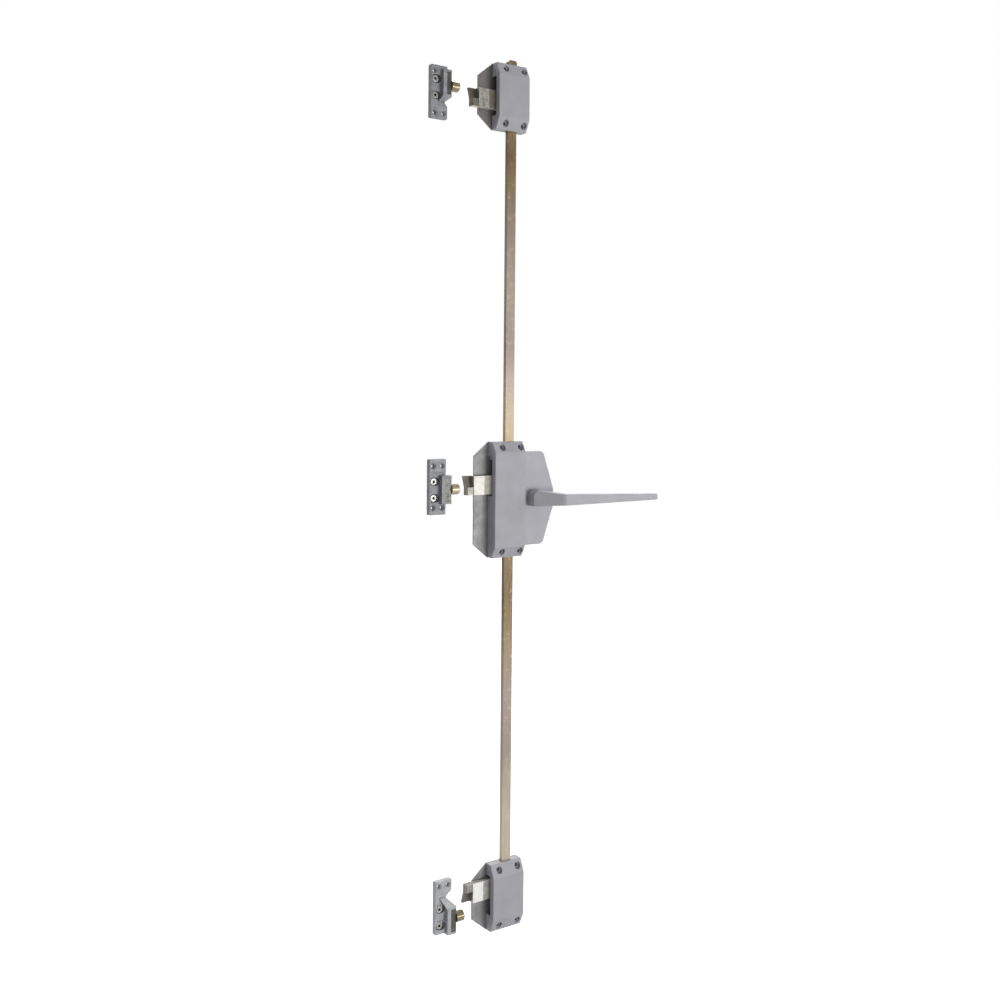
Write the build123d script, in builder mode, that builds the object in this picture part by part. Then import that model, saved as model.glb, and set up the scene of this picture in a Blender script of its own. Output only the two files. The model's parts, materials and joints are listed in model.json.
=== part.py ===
from build123d import *
import os
from math import acos, cos, pi, radians, sin, sqrt, tan

os.makedirs("parts", exist_ok=True)

# A surface-mounted cremone bolt. X runs along the door towards the lever, Z is up, and the door face is the
# plane Y = 0. The origin is on the door face, on the rod's centre line and halfway up the centre case.
# Every piece is placed by its X, its Z and its depth, which is the distance from the door face to the viewer.

# Cases
rack_wall_gap = 2.5
base_thickness = 2.5
cover_depth = 18.0
cover_wall = 2.5
facet_setback = 8.3
cover_side_radius = 1.0
center_case_height = 161.0
center_facet_length = 14.7
small_case_height = 92.6
small_facet_length = 17.0
center_cover_left = -30.5
upper_cover_left = -29.0
lower_cover_left = -27.8
upper_case_z = 559.8
lower_case_z = -551.5
wing_width = 23.5
wing_drop = 19.2
base_corner_radius = 1.0

# Fixing holes through the covers and base plates
fixing_boss_gap = 1.55
center_fixing_inset = 8.0
small_fixing_inset = 8.3
center_fixing_x = -0.8
small_fixing_x = 0.0
fixing_hole_radius = 2.75
counterbore_radius = 4.8
counterbore_floor = 12.4
fixing_boss_radius = 6.2

# Screws from behind that hold covers and plates to the base plates
case_screw_radius = 1.5
case_screw_head_radius = 3.0
case_screw_head_height = 1.6
case_screw_length = 8.0
case_boss_radius = 3.6
case_boss_merge = 0.8
case_screw_recess = 0.1

# Clearances
slide_clearance = 0.3
running_clearance = 0.05
fit_clearance = 0.02
seat_clearance = 0.1
overrun = 5.0

# Rods
rod_width = 15.0
rod_thickness = 6.0
rod_gap = 1.4
rod_stub = 7.0
rod_end_chamfer = 2.5
rod_edge_radius = 0.5
lap_length = 20.0
lap_end = 28.0
lower_rod_end = -571.5

# Hooks
hook_thickness = 8.6
hook_gap = 1.1
hook_height = 26.0
center_hook_reach = 30.5
small_hook_reach = 29.0
hook_pocket_length = 10.2
hook_plate_thickness = 3.5
hook_pocket_height = 15.4
hook_flare_back = 2.8
hook_tip_extra = 1.7
hook_edge_radius = 2.2
hook_pad_length = 18.0
hook_pad_rise = 1.2
hook_slope_length = 10.0
center_hook_z = 21.2
upper_hook_z = 553.0
lower_hook_z = -537.3
hook_screw_radius = 2.0
hook_screw_head_radius = 3.6
hook_screw_head_height = 2.0
hook_screw_pitch = 12.0
hook_slot_below = 2.9
center_slot_height = 55.7
small_slot_height = 54.0
small_slot_below = 7.2

# Gears and racks
gear_module = 1.5
spindle_teeth = 15
idler_teeth = 12
pressure_angle = 20.0
gear_addendum = 1.2
gear_dedendum = 1.35
rack_addendum = 1.0
rack_dedendum = 1.5
tooth_backlash = 0.25
gear_width = 5.0
flank_steps = 4
slider_column = 5.5
rack_reach = 26.0
rack_overlap = 8.0
outer_rack_margin = 0.8
lever_turn = 90.0

# Idler axle
axle_radius = 3.0
axle_collar_radius = 5.0
axle_tail = 1.4
clip_radius = 5.5
clip_thickness = 0.8

# Spindle, bush and lever
spindle_x = 42.0
spindle_z = 1.0
spindle_square = 8.0
journal_radius = 4.0
spindle_end_depth = 26.0
spindle_recess = 0.1
lever_neck_radius = 9.0
bush_wall = 1.9
bush_flange = 1.6
bush_flange_thickness = 0.6
boss_size = 23.5
boss_top_radius = 10.0
boss_bottom_radius = 4.5
boss_edge_radius = 1.2
boss_front_depth = 28.6
grip_front_depth = 57.0
grip_bend_x = 22.0
lever_length = 193.6
grip_root_depth = 12.0
grip_tip_depth = 8.0
grip_root_top = 6.4
grip_root_bottom = 9.6
grip_tip_top = 0.2
grip_tip_bottom = 8.7
grip_bend_softening = 3.2
grip_edge_radius = 2.0
grip_tip_radius = 1.4
neck_thickness = 13.1
neck_start_step = 0.3
neck_flare = 0.8
neck_edge_radius = 2.8
grub_radius = 2.5
grub_length = 6.0
grub_depth = 20.5
grub_socket_radius = 1.3
grub_socket_depth = 2.5

# Handle plate
handle_plate_depth = 12.0
handle_plate_wall = 2.5
handle_plate_shoulder_x = 57.5
handle_plate_tip_x = 76.0
handle_plate_half_height = 66.0
handle_plate_tip_half = 12.0
handle_plate_shoulder_radius = 8.0
handle_plate_tip_radius = 9.0
handle_plate_edge_radius = 1.2
plate_screw_x = 48.0
plate_screw_z = 44.0

# Keepers
frame_step = 6.0
keeper_width = 26.0
center_keeper_height = 75.0
end_keeper_height = 71.5
keeper_thickness = 6.8
keeper_recess = 1.2
keeper_corner_radius = 1.6
keeper_pad_height = 17.5
keeper_pad_inset = 2.6
keeper_hole_pitch_x = 14.0
keeper_hole_pitch_z = 56.0
keeper_hole_radius = 2.2
keeper_countersink_radius = 4.3
center_bracket_height = 38.5
end_bracket_height = 36.5
bracket_depth = 12.0
bracket_inset = 9.5
center_overhang = 5.8
upper_overhang = 3.5
lower_overhang = 4.5
bracket_strip = 5.5
bracket_lip = 3.0
channel_floor = 2.6
carrier_setback = 0.6
pin_radius = 7.2
pin_length = 12.0
pin_depth = 7.8
pin_spigot_radius = 3.0
pin_spigot_length = 5.0
pin_edge_radius = 1.4
keeper_screw_pitch = 22.0
keeper_screw_x = 7.1
keeper_screw_head_radius = 5.0
keeper_screw_head_height = 3.6
keeper_screw_radius = 3.0
keeper_socket_radius = 2.1
keeper_socket_depth = 2.2
keeper_slot_radius = 5.6
keeper_slot_travel = 4.0
keeper_slot_floor = 2.4
keeper_pin_shift = 2.2
keeper_screw_shift = 6.0
upper_keeper_notch = 4.0
lower_keeper_notch = 9.0
keeper_notch_height = 6.0
center_keeper_right = -105.5
upper_keeper_right = -108.3
lower_keeper_right = -90.8
center_keeper_z = 21.6
upper_keeper_z = 550.4
lower_keeper_z = -544.1
center_bracket_shift = -3.8
upper_bracket_shift = 12.1
lower_bracket_shift = -19.3

# Depths and places that follow from the sizes above
cover_front = base_thickness + cover_depth
rod_back = base_thickness + rod_gap
rod_front = rod_back + rod_thickness
rod_middle = rod_back + rod_thickness / 2
hook_back = base_thickness + hook_gap
hook_front = hook_back + hook_thickness
gear_front = rod_back + gear_width
spindle_radius = gear_module * spindle_teeth / 2
idler_radius = gear_module * idler_teeth / 2
rack_pitch = pi * gear_module
bolt_travel = spindle_radius * radians(lever_turn)
outer_rack_x = spindle_x - spindle_radius
slider_outer = idler_radius + rack_dedendum + slider_column
center_cover_right = slider_outer + rack_wall_gap + cover_wall
case_width = center_cover_right - center_cover_left
center_flat_height = center_case_height - 2 * center_facet_length
small_flat_height = small_case_height - 2 * small_facet_length
fixing_spacing_x = rod_width + 2 * (fixing_boss_gap + fixing_boss_radius)
center_fixing_spacing_z = center_case_height - 2 * center_fixing_inset
small_fixing_spacing_z = small_case_height - 2 * small_fixing_inset
neck_start_half = boss_size / 2 - neck_start_step
rack_block_top = spindle_z + rack_overlap
rack_block_bottom = spindle_z - rack_reach
rod_top = upper_case_z + small_case_height / 2 + rod_stub
boss_back_depth = handle_plate_depth + bush_flange_thickness + slide_clearance

CENTER_LOW = (Align.CENTER, Align.CENTER, Align.MIN)


def at(x, z, depth):
    """A place seen from the front: local X is X, local Y is Z, and local Z points at the viewer."""
    return Location((x, -depth, z), (90, 0, 0))


def slab(left, right, bottom, top, back, front, mode=Mode.ADD):
    """A box between two X, two Z and two depths."""
    with Locations(at((left + right) / 2, (bottom + top) / 2, back)):
        Box(right - left, top - bottom, front - back, align=CENTER_LOW, mode=mode)


def rod_of(radius, back, front, places, mode=Mode.ADD):
    """Round bars or holes along the depth, one at each (X, Z) place."""
    with Locations(*[at(x, z, back) for x, z in places]):
        Cylinder(radius, front - back, align=CENTER_LOW, mode=mode)


def grid(x, z, pitch_x, pitch_z):
    """The four corners of a rectangle about (x, z)."""
    return [(x + i * pitch_x / 2, z + k * pitch_z / 2) for i in (-1, 1) for k in (-1, 1)]


def finish(builder, name):
    """Label a finished piece and write it."""
    builder.part.label = name
    export_step(builder.part, f"parts/{name}.step")


# Covers


def side_outline(center_z, height, flat_height, back):
    """Corners of a cover seen from the side, as (Y, Z)."""
    end_depth = cover_front - facet_setback
    return [
        (-back, center_z - height / 2),
        (-end_depth, center_z - height / 2),
        (-cover_front, center_z - flat_height / 2),
        (-cover_front, center_z + flat_height / 2),
        (-end_depth, center_z + height / 2),
        (-back, center_z + height / 2),
    ]


def make_cover(name, left, center_z, height, flat_height, fixing, screws, slot_bottom, slot_height, window=None):
    """A die-cast cover: sloped screw facets, bosses, a rod slot at each end and a hook slot in the left wall."""
    right = left + case_width
    with BuildPart() as cavity:
        with BuildSketch(Plane.YZ.offset(left + cover_wall)):
            with BuildLine():
                Polyline(*side_outline(center_z, height, flat_height, base_thickness - cover_wall), close=True)
            make_face()
            offset(amount=-cover_wall, kind=Kind.INTERSECTION, mode=Mode.REPLACE)
        extrude(amount=case_width - 2 * cover_wall)
        with BuildSketch(Plane.XZ.offset(base_thickness)):
            with Locations(*fixing):
                Circle(fixing_boss_radius)
            with Locations(*screws):
                Circle(case_boss_radius)
        extrude(amount=cover_depth, mode=Mode.SUBTRACT)
    with BuildPart() as cover:
        with BuildSketch(Plane.YZ.offset(left)):
            with BuildLine():
                Polyline(*side_outline(center_z, height, flat_height, base_thickness), close=True)
            make_face()
        extrude(amount=case_width)
        sides = cover.faces().filter_by(Axis.X)
        back_edges = cover.faces().sort_by(Axis.Y)[-1].edges()
        fillet([e for e in sides.edges() if e not in back_edges], radius=cover_side_radius)
        add(cavity.part, mode=Mode.SUBTRACT)
        rod_of(counterbore_radius, counterbore_floor, cover_front + overrun, fixing, mode=Mode.SUBTRACT)
        rod_of(fixing_hole_radius, base_thickness - overrun, cover_front, fixing, mode=Mode.SUBTRACT)
        rod_of(case_screw_radius, base_thickness - overrun, case_screw_length + seat_clearance, screws,
               mode=Mode.SUBTRACT)
        slot_half = rod_width / 2 + slide_clearance
        slab(-slot_half, slot_half, center_z - height / 2 - overrun, center_z + height / 2 + overrun,
             base_thickness - overrun, rod_front + slide_clearance, mode=Mode.SUBTRACT)
        slab(left - overrun, left + cover_wall + seat_clearance, slot_bottom, slot_bottom + slot_height,
             base_thickness - overrun, hook_front + slide_clearance, mode=Mode.SUBTRACT)
        if window:
            slab(right - cover_wall - seat_clearance, right + overrun, window[0], window[1],
                 base_thickness - overrun, gear_front + slide_clearance, mode=Mode.SUBTRACT)
    finish(cover, name)


def make_base(name, left, center_z, height, fixing, screws, extra=None):
    """A base plate: the cover's rectangle with a wing on the left that has slanted corners."""
    right = left + case_width
    half = height / 2
    with BuildPart() as base:
        with BuildSketch(Plane.XZ):
            with BuildLine():
                Polyline(
                    (right, center_z - half),
                    (right, center_z + half),
                    (left, center_z + half),
                    (left - wing_width, center_z + half - wing_drop),
                    (left - wing_width, center_z - half + wing_drop),
                    (left, center_z - half),
                    close=True,
                )
            make_face()
            if extra:
                with BuildLine():
                    Polyline(*extra, close=True)
                make_face()
        extrude(amount=base_thickness)
        # The inner corners beside the tongue stay sharp, clear of the handle plate's walls
        corners = [
            e for e in base.edges().filter_by(Axis.Y)
            if abs(e.center().X - right) > seat_clearance or abs(e.center().Z - center_z) > half - seat_clearance
        ]
        fillet(corners, radius=base_corner_radius)
        rod_of(fixing_hole_radius, -overrun, base_thickness + overrun, fixing, mode=Mode.SUBTRACT)
        countersunk_holes(screws)
        if extra:
            rod_of(journal_radius + running_clearance, -overrun, base_thickness + overrun,
                   [(spindle_x, spindle_z)], mode=Mode.SUBTRACT)
            rod_of(axle_radius + fit_clearance, -overrun, base_thickness + overrun, [(0, 0)], mode=Mode.SUBTRACT)
    finish(base, name)


def countersunk_holes(places):
    """Clearance holes with a countersink on the door side."""
    rod_of(case_screw_radius + fit_clearance, -overrun, base_thickness + overrun, places, mode=Mode.SUBTRACT)
    with Locations(*[at(x, z, 0) for x, z in places]):
        Cone(case_screw_head_radius + seat_clearance, case_screw_radius + fit_clearance,
             case_screw_head_height + seat_clearance, align=CENTER_LOW, mode=Mode.SUBTRACT)


def make_back_screws(name, places):
    """Countersunk screws put in from behind."""
    with BuildPart() as screws:
        with Locations(*[at(x, z, case_screw_recess) for x, z in places]):
            Cone(case_screw_head_radius, case_screw_radius, case_screw_head_height, align=CENTER_LOW)
        rod_of(case_screw_radius, case_screw_head_height, case_screw_length, places)
    finish(screws, name)


center_fixing = grid(center_fixing_x, 0, fixing_spacing_x, center_fixing_spacing_z)
upper_fixing = grid(small_fixing_x, upper_case_z, fixing_spacing_x, small_fixing_spacing_z)
lower_fixing = grid(small_fixing_x, lower_case_z, fixing_spacing_x, small_fixing_spacing_z)
boss_inset = cover_wall + case_boss_radius - case_boss_merge
small_screw_inset = case_width - boss_inset
small_screw_z = small_flat_height / 2 - 2 * case_boss_radius
upper_case_screws = [(upper_cover_left + small_screw_inset, upper_case_z + k * small_screw_z) for k in (-1, 1)]
lower_case_screws = [(lower_cover_left + small_screw_inset, lower_case_z + k * small_screw_z) for k in (-1, 1)]
center_screw_z = center_flat_height / 2 - 2 * case_boss_radius
center_case_screws = [
    (center_cover_left + boss_inset, center_screw_z),
    (center_cover_right - boss_inset, -center_screw_z),
]
plate_screws = [(plate_screw_x, plate_screw_z), (plate_screw_x, -plate_screw_z)]

slider_window = (rack_block_bottom - outer_rack_margin, rack_block_top + bolt_travel + outer_rack_margin)
center_slot_bottom = center_hook_z - hook_height / 2 - hook_slot_below
upper_slot_bottom = upper_hook_z - hook_height / 2 - small_slot_below
lower_slot_bottom = lower_hook_z + hook_height / 2 + hook_slot_below - small_slot_height

make_cover("center_cover", center_cover_left, 0, center_case_height, center_flat_height, center_fixing,
           center_case_screws, center_slot_bottom, center_slot_height, slider_window)
make_cover("upper_cover", upper_cover_left, upper_case_z, small_case_height, small_flat_height, upper_fixing,
           upper_case_screws, upper_slot_bottom, small_slot_height)
make_cover("lower_cover", lower_cover_left, lower_case_z, small_case_height, small_flat_height, lower_fixing,
           lower_case_screws, lower_slot_bottom, small_slot_height)

# Base plates. The centre one runs on under the handle plate.
inner = handle_plate_wall + slide_clearance
tongue_outline = [
    (center_cover_right - base_corner_radius, -handle_plate_half_height + inner),
    (handle_plate_shoulder_x - 2 * inner, -handle_plate_half_height + inner),
    (handle_plate_tip_x - 3 * inner, -handle_plate_tip_half),
    (handle_plate_tip_x - 3 * inner, handle_plate_tip_half),
    (handle_plate_shoulder_x - 2 * inner, handle_plate_half_height - inner),
    (center_cover_right - base_corner_radius, handle_plate_half_height - inner),
]
make_base("center_base_plate", center_cover_left, 0, center_case_height, center_fixing,
          center_case_screws + plate_screws, tongue_outline)
make_base("upper_base_plate", upper_cover_left, upper_case_z, small_case_height, upper_fixing, upper_case_screws)
make_base("lower_base_plate", lower_cover_left, lower_case_z, small_case_height, lower_fixing, lower_case_screws)

make_back_screws("center_case_screws", center_case_screws)
make_back_screws("upper_case_screws", upper_case_screws)
make_back_screws("lower_case_screws", lower_case_screws)
make_back_screws("handle_plate_screws", plate_screws)

# Handle plate: a shallow shell, open at the back and towards the cover
plate_left = center_cover_right + seat_clearance
plate_outline = [
    (plate_left, -handle_plate_half_height),
    (handle_plate_shoulder_x, -handle_plate_half_height),
    (handle_plate_tip_x, -handle_plate_tip_half),
    (handle_plate_tip_x, handle_plate_tip_half),
    (handle_plate_shoulder_x, handle_plate_half_height),
    (plate_left, handle_plate_half_height),
]
with BuildSketch(Plane.XZ) as plate_shape:
    with BuildLine():
        Polyline(*plate_outline, close=True)
    make_face()
    right_corners = plate_shape.vertices().group_by(Axis.X)[-1]
    fillet(right_corners, radius=handle_plate_tip_radius)
    shoulders = [v for v in plate_shape.vertices() if abs(v.X - handle_plate_shoulder_x) < seat_clearance]
    fillet(shoulders, radius=handle_plate_shoulder_radius)
with BuildSketch(Plane.XZ) as plate_hollow:
    add(plate_shape.sketch)
    offset(amount=-handle_plate_wall, kind=Kind.INTERSECTION, mode=Mode.REPLACE)
with BuildPart() as handle_plate:
    extrude(plate_shape.sketch, amount=handle_plate_depth)
    front = handle_plate.faces().sort_by(Axis.Y)[0]
    fillet(front.edges().filter_by(lambda e: e.center().X > plate_left + seat_clearance),
           radius=handle_plate_edge_radius)
    with BuildSketch(Plane.XZ):
        add(plate_hollow.sketch)
        with Locations((plate_left + handle_plate_wall / 2, 0)):
            Rectangle(2 * handle_plate_wall, 2 * (handle_plate_half_height - handle_plate_wall))
        with Locations(*plate_screws):
            Circle(case_boss_radius, mode=Mode.SUBTRACT)
    extrude(amount=handle_plate_depth - handle_plate_wall, mode=Mode.SUBTRACT)
    for x, z in plate_screws:
        slab(x - case_boss_radius, x + case_boss_radius, z - case_boss_radius, z + case_boss_radius,
             -overrun, base_thickness + fit_clearance, mode=Mode.SUBTRACT)
    rod_of(case_screw_radius, -overrun, case_screw_length + seat_clearance, plate_screws, mode=Mode.SUBTRACT)
    bush_outer = lever_neck_radius + running_clearance + bush_wall
    rod_of(bush_outer + fit_clearance, 0, handle_plate_depth + overrun, [(spindle_x, spindle_z)], mode=Mode.SUBTRACT)
finish(handle_plate, "handle_plate")

with BuildPart() as handle_bush:
    seat = [(spindle_x, spindle_z)]
    rod_of(bush_outer, handle_plate_depth - handle_plate_wall, handle_plate_depth + bush_flange_thickness, seat)
    rod_of(bush_outer + bush_flange - bush_wall / 2, handle_plate_depth + fit_clearance,
           handle_plate_depth + bush_flange_thickness, seat)
    rod_of(lever_neck_radius + running_clearance, 0, handle_plate_depth + overrun, seat, mode=Mode.SUBTRACT)
finish(handle_bush, "handle_bush")


# Gears and racks


def involute_point(base_radius, radius, side, half_angle):
    """A point of a tooth's flank: the involute of the base circle, turned to the tooth's side."""
    roll = sqrt(max(radius * radius / (base_radius * base_radius) - 1, 0))
    angle = side * (half_angle - (roll - acos(min(base_radius / radius, 1))))
    return (radius * cos(angle), radius * sin(angle))


def gear_sketch(teeth, center, turn):
    """A spur gear's outline about a centre in X and Z, with one tooth pointing at the angle turn."""
    pitch_radius = gear_module * teeth / 2
    base_radius = pitch_radius * cos(radians(pressure_angle))
    root_radius = pitch_radius - gear_dedendum
    tip_radius = pitch_radius + gear_addendum
    involute = tan(radians(pressure_angle)) - radians(pressure_angle)
    half_angle = (rack_pitch / 2 - tooth_backlash) / 2 / pitch_radius + involute
    start = max(base_radius, root_radius)
    radii = [start + (tip_radius - start) * k / flank_steps for k in range(flank_steps + 1)]
    low = [involute_point(base_radius, r, -1, half_angle) for r in radii]
    high = [involute_point(base_radius, r, 1, half_angle) for r in radii]
    inner_low = (root_radius * cos(half_angle) / 2, -root_radius * sin(half_angle))
    inner_high = (root_radius * cos(half_angle) / 2, root_radius * sin(half_angle))
    with BuildSketch() as tooth:
        with BuildLine():
            Spline(*low)
            ThreePointArc(low[-1], (tip_radius, 0), high[-1])
            Spline(*high)
            Polyline(high[0], inner_high, inner_low, low[0])
        make_face()
    with BuildSketch(Plane.XZ.offset(rod_back)) as outline:
        with Locations(center):
            Circle(root_radius)
            with PolarLocations(0, teeth, start_angle=turn):
                add(tooth.sketch)
    return outline.sketch


def rack_teeth(x, facing, mesh_z, bottom, top, back, front):
    """Straight-sided teeth on an upright rack; the gap between two teeth lies at mesh_z."""
    half = (rack_pitch / 2 - tooth_backlash) / 2
    slope = tan(radians(pressure_angle))
    count = int((top - bottom) / rack_pitch) + 2
    centers = [mesh_z + (k + 1 / 2) * rack_pitch for k in range(-count, count)]
    inside = [c for c in centers if bottom < c - rack_pitch / 2 and c + rack_pitch / 2 < top]
    root = x - facing * (rack_dedendum + seat_clearance)
    with BuildSketch(Plane.XZ.offset(back)) as teeth:
        for c in inside:
            with BuildLine():
                Polyline(
                    (root, c - half - rack_dedendum * slope),
                    (x + facing * rack_addendum, c - half + rack_addendum * slope),
                    (x + facing * rack_addendum, c + half - rack_addendum * slope),
                    (root, c + half + rack_dedendum * slope),
                    close=True,
                )
            make_face()
    return extrude(teeth.sketch, amount=front - back, mode=Mode.PRIVATE)


with BuildPart() as idler_pinion:
    extrude(gear_sketch(idler_teeth, (0, 0), 0), amount=gear_width)
    rod_of(axle_radius + running_clearance, rod_back - overrun, gear_front + overrun, [(0, 0)], mode=Mode.SUBTRACT)
finish(idler_pinion, "idler_pinion")

with BuildPart() as idler_axle:
    rod_of(axle_radius, 0, gear_front + axle_tail, [(0, 0)])
    rod_of(axle_collar_radius, base_thickness, rod_back - slide_clearance, [(0, 0)])
finish(idler_axle, "idler_axle")

with BuildPart() as axle_clip:
    clip_back = gear_front + slide_clearance
    rod_of(clip_radius, clip_back, clip_back + clip_thickness, [(0, 0)])
    rod_of(axle_radius + fit_clearance, clip_back - overrun, clip_back + overrun, [(0, 0)], mode=Mode.SUBTRACT)
    slab(-axle_radius / 2, axle_radius / 2, -clip_radius, 0, clip_back - overrun, clip_back + overrun,
         mode=Mode.SUBTRACT)
finish(axle_clip, "axle_clip")

with BuildPart() as spindle_pinion:
    extrude(gear_sketch(spindle_teeth, (spindle_x, spindle_z), 180), amount=gear_width)
    square = spindle_square / 2 + fit_clearance
    slab(spindle_x - square, spindle_x + square, spindle_z - square, spindle_z + square, rod_back - overrun,
         gear_front + overrun, mode=Mode.SUBTRACT)
finish(spindle_pinion, "spindle_pinion")

# The two lap screws of the centre hook and the two rivets of the lower rod stand on the rod's centre line
lap_middle = lap_end + lap_length / 2
lap_places = [(0, lap_middle - hook_screw_pitch / 2 + hook_screw_radius / 2),
              (0, lap_middle + hook_screw_pitch / 2 - hook_screw_radius / 2)]
rivet_places = [(x, -z) for x, z in lap_places]
slider_inner = idler_radius + rack_dedendum
half_rod = rod_width / 2

with BuildPart() as upper_slider:
    slab(slider_inner, slider_outer, -rack_reach, lap_end + lap_length, rod_back, gear_front)
    slab(-half_rod, slider_outer, lap_end, lap_end + lap_length, rod_back, rod_middle)
    slab(slider_outer, outer_rack_x - rack_dedendum, rack_block_bottom, rack_block_top, rod_back, gear_front)
    add(rack_teeth(idler_radius, -1, 0, -rack_reach, rack_overlap, rod_back, gear_front))
    add(rack_teeth(outer_rack_x, 1, spindle_z, rack_block_bottom, rack_block_top, rod_back, gear_front))
    rod_of(hook_screw_radius + fit_clearance, 0, rod_front, lap_places, mode=Mode.SUBTRACT)
    slab(-half_rod - seat_clearance, half_rod + slide_clearance, lap_end - overrun, lap_end + lap_length + overrun,
         rod_middle, cover_front, mode=Mode.SUBTRACT)
finish(upper_slider, "upper_slider")

with BuildPart() as lower_slider:
    slab(-slider_outer, -slider_inner, -lap_end - lap_length, rack_reach, rod_back, gear_front)
    slab(-slider_outer, half_rod, -lap_end - lap_length, -lap_end, rod_back, rod_middle)
    add(rack_teeth(-idler_radius, 1, 0, -rack_overlap, rack_reach, rod_back, gear_front))
    rod_of(hook_screw_radius + fit_clearance, 0, rod_front, rivet_places, mode=Mode.SUBTRACT)
finish(lower_slider, "lower_slider")


# Rods


def make_rod(name, near, far, lap_holes, hook_holes):
    """A flat bar from its half-lapped end near the centre to its far end."""
    way = 1 if far > near else -1
    shoulder = near + way * (lap_length + seat_clearance)
    low, high = sorted((shoulder, far))
    lap_low, lap_high = sorted((near, shoulder))
    with BuildPart() as rod:
        slab(-half_rod, half_rod, low, high, rod_back, rod_front)
        end = rod.faces().sort_by(Axis.Z)[-1 if way > 0 else 0]
        chamfer(end.edges().filter_by(Axis.Y), length=rod_end_chamfer)
        fillet(rod.edges().filter_by(Axis.Z), radius=rod_edge_radius)
        slab(-half_rod, half_rod, lap_low, lap_high, rod_middle, rod_front)
        rod_of(hook_screw_radius + fit_clearance, 0, cover_front, lap_holes + hook_holes, mode=Mode.SUBTRACT)
    finish(rod, name)


upper_hook_holes = [(0, upper_hook_z + k * hook_screw_pitch / 2) for k in (-1, 1)]
lower_hook_holes = [(0, lower_hook_z + k * hook_screw_pitch / 2) for k in (-1, 1)]
make_rod("upper_rod", lap_end, rod_top, lap_places, upper_hook_holes)
make_rod("lower_rod", -lap_end, lower_rod_end, rivet_places, lower_hook_holes)

with BuildPart() as lower_rod_rivets:
    rod_of(hook_screw_radius, rod_back, rod_front + hook_screw_head_height, rivet_places)
    rod_of(hook_screw_head_radius, rod_front, rod_front + hook_screw_head_height, rivet_places)
    fillet(lower_rod_rivets.faces().sort_by(Axis.Y)[:2].edges(), radius=hook_screw_head_height * 2 / 3)
finish(lower_rod_rivets, "lower_rod_rivets")


# Hooks


def make_hook(name, face, center_z, way, block_end, tail_top, holes):
    """A hook: a block with a pocket at its left end, and a flat tail that lies on the rod.

    face is the X of the block's left end, where the pocket starts. way is 1 where the pocket opens upwards and
    -1 where it opens downwards.
    """
    tip = face - hook_pocket_length
    half = hook_height / 2
    shelf = half - hook_pocket_height
    with BuildPart() as hook:
        slab(face, block_end, center_z - half, center_z + half, hook_back, hook_front)
        # The ledge that closes the pocket's far side
        low, high = sorted((center_z - way * half, center_z + way * shelf))
        slab(tip, face, low, high, hook_back, hook_front)
        ledge_edge = hook.edges().filter_by(Axis.Z).sort_by(lambda e: (e.center().X - e.center().Y * -1))[0]
        fillet(ledge_edge, radius=hook_edge_radius)
        # The pad in front of the block, which slopes back to the tail before it reaches the case
        with BuildSketch(Plane.XY.offset(center_z - half)):
            with BuildLine():
                Polyline(
                    (face, -hook_back),
                    (face, -hook_front - hook_pad_rise),
                    (face + hook_pad_length, -hook_front - hook_pad_rise),
                    (face + hook_pad_length + hook_slope_length, -hook_front),
                    (face + hook_pad_length + hook_slope_length, -hook_back),
                    close=True,
                )
            make_face()
        extrude(amount=hook_height)
        # The plate behind the pocket, bent back towards the door at its free end
        with BuildSketch(Plane.YZ.offset(face)):
            with BuildLine():
                Polyline(
                    (-hook_back, center_z + way * shelf),
                    (-hook_back - hook_plate_thickness, center_z + way * shelf),
                    (-hook_back - hook_plate_thickness + hook_flare_back, center_z + way * half),
                    (-hook_back + hook_flare_back, center_z + way * half),
                    close=True,
                )
            make_face()
        extrude(amount=-hook_pocket_length - hook_tip_extra)
        with BuildSketch(Plane.XZ.offset(-overrun)):
            with BuildLine():
                Polyline(
                    (tip, center_z + way * shelf),
                    (tip - hook_tip_extra, center_z + way * half),
                    (tip - hook_tip_extra - overrun, center_z + way * half),
                    (tip - hook_tip_extra - overrun, center_z + way * shelf),
                    close=True,
                )
            make_face()
        extrude(amount=cover_front, mode=Mode.SUBTRACT)
        # The tail in front of the rod
        slab(block_end, half_rod, center_z - half, center_z + half, rod_front, hook_front)
        if tail_top:
            slab(-half_rod, half_rod, center_z, tail_top, rod_front, hook_front)
        rod_of(hook_screw_radius + fit_clearance, 0, cover_front, holes, mode=Mode.SUBTRACT)
    finish(hook, name)


def make_hook_screws(name, places, back):
    """Pan-head screws that hold a hook's tail on its rod."""
    with BuildPart() as screws:
        rod_of(hook_screw_radius, back, hook_front + hook_screw_head_height / 2, places)
        rod_of(hook_screw_head_radius, hook_front, hook_front + hook_screw_head_height, places)
        fillet(screws.faces().sort_by(Axis.Y)[:2].edges(), radius=hook_screw_head_height / 3)
    finish(screws, name)


center_block_end = -slider_outer - hook_edge_radius
small_block_end = -half_rod - hook_edge_radius
make_hook("center_hook", center_cover_left - center_hook_reach, center_hook_z, 1, center_block_end,
          lap_end + lap_length, lap_places)
make_hook("upper_hook", upper_cover_left - small_hook_reach, upper_hook_z, 1, small_block_end, None, upper_hook_holes)
make_hook("lower_hook", lower_cover_left - small_hook_reach, lower_hook_z, -1, small_block_end, None, lower_hook_holes)
make_hook_screws("center_hook_screws", lap_places, rod_back)
make_hook_screws("upper_hook_screws", upper_hook_holes, rod_back)
make_hook_screws("lower_hook_screws", lower_hook_holes, rod_back)

# Spindle and lever
with BuildPart() as spindle:
    rod_of(journal_radius, spindle_recess, rod_back, [(spindle_x, spindle_z)])
    half_square = spindle_square / 2
    slab(spindle_x - half_square, spindle_x + half_square, spindle_z - half_square, spindle_z + half_square,
         base_thickness + slide_clearance, spindle_end_depth)
finish(spindle, "spindle")

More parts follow.
